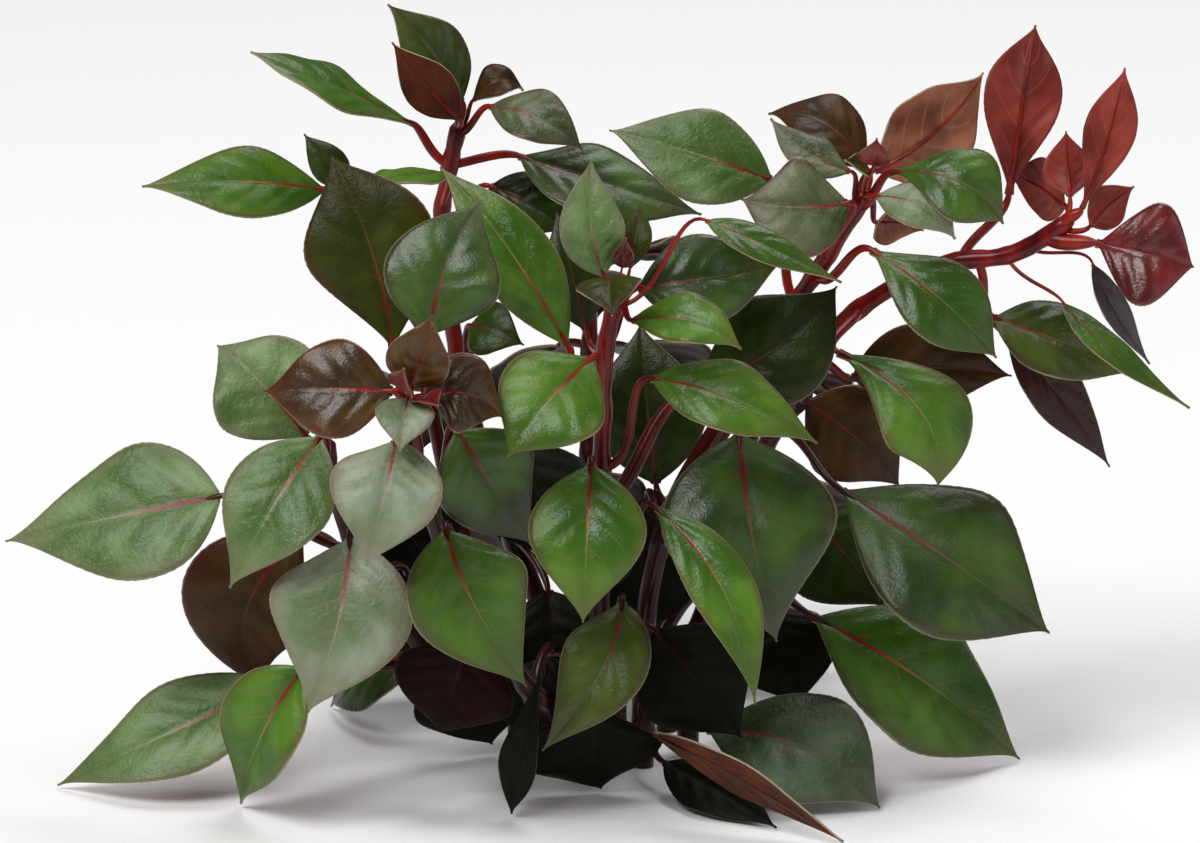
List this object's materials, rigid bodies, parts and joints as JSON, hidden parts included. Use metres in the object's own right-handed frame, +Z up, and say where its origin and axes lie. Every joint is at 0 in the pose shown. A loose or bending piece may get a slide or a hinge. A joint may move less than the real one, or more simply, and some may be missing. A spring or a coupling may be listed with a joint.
{
  "type": "ludwigia repens",
  "caption": "Bushy bunch of ludwigia shoots, green and bronze leaves on red stems, standing on the level cut ends of its stems.",
  "frame": {"origin": "middle of the bunch's outline, on the surface it stands on", "axes": "+Z up, +X to the right of the side that the picture shows, which is the widest way, -Y towards that side's viewer"},
  "size_m": [0.1741, 0.1181, 0.114],
  "materials": {
    "shoot": "smooth crimson stem with young olive and red leaves",
    "leaf_green": "waxy green leaf with a silver sheen",
    "leaf_dark": "waxy dark green leaf",
    "leaf_olive": "waxy olive leaf with a brown edge",
    "leaf_maroon": "satin dark maroon leaf",
    "leaf_bronze": "satin red-brown leaf underside",
    "leaf_red": "waxy rose-red leaf"
  },
  "bodies": {
    "root": {"leaf_centre_1": "leaf_dark", "leaf_centre_10": "leaf_dark", "leaf_centre_11": "leaf_dark", "leaf_centre_12": "leaf_dark", "leaf_centre_2": "leaf_green", "leaf_centre_3": "leaf_green", "leaf_centre_4": "leaf_green", "leaf_centre_5": "leaf_green", "leaf_centre_6": "leaf_dark", "leaf_centre_7": "leaf_green", "leaf_centre_8": "leaf_green", "leaf_centre_9": "leaf_olive", "leaf_far_right_1": "leaf_red", "leaf_far_right_10": "leaf_dark", "leaf_far_right_11": "leaf_dark", "leaf_far_right_12": "leaf_dark", "leaf_far_right_2": "leaf_green", "leaf_far_right_3": "leaf_maroon", "leaf_far_right_4": "leaf_dark", "leaf_far_right_5": "leaf_maroon", "leaf_far_right_6": "leaf_bronze", "leaf_far_right_7": "leaf_green", "leaf_far_right_8": "leaf_bronze", "leaf_far_right_9": "leaf_dark", "leaf_front_left_1": "leaf_dark", "leaf_front_left_2": "leaf_green", "leaf_front_left_3": "leaf_dark", "leaf_front_left_4": "leaf_olive", "leaf_front_left_5": "leaf_green", "leaf_front_left_6": "leaf_maroon", "leaf_left_1": "leaf_green", "leaf_left_2": "leaf_green", "leaf_left_3": "leaf_green", "leaf_left_4": "leaf_green", "leaf_left_5": "leaf_olive", "leaf_left_6": "leaf_green", "leaf_left_7": "leaf_green", "leaf_left_8": "leaf_dark", "leaf_right_1": "leaf_bronze", "leaf_right_2": "leaf_olive", "leaf_right_3": "leaf_green", "leaf_right_4": "leaf_green", "leaf_right_5": "leaf_dark", "leaf_right_6": "leaf_dark", "leaf_right_7": "leaf_bronze", "leaf_top_left_1": "leaf_green", "leaf_top_left_2": "leaf_dark", "leaf_top_left_3": "leaf_green", "leaf_top_left_4": "leaf_dark", "stem_back": "shoot", "stem_back_left": "shoot", "stem_back_right": "shoot", "stem_centre": "shoot", "stem_far_right": "shoot", "stem_front_left": "shoot", "stem_left": "shoot", "stem_right": "shoot", "stem_top_left": "shoot"}
  },
  "joints": []
}
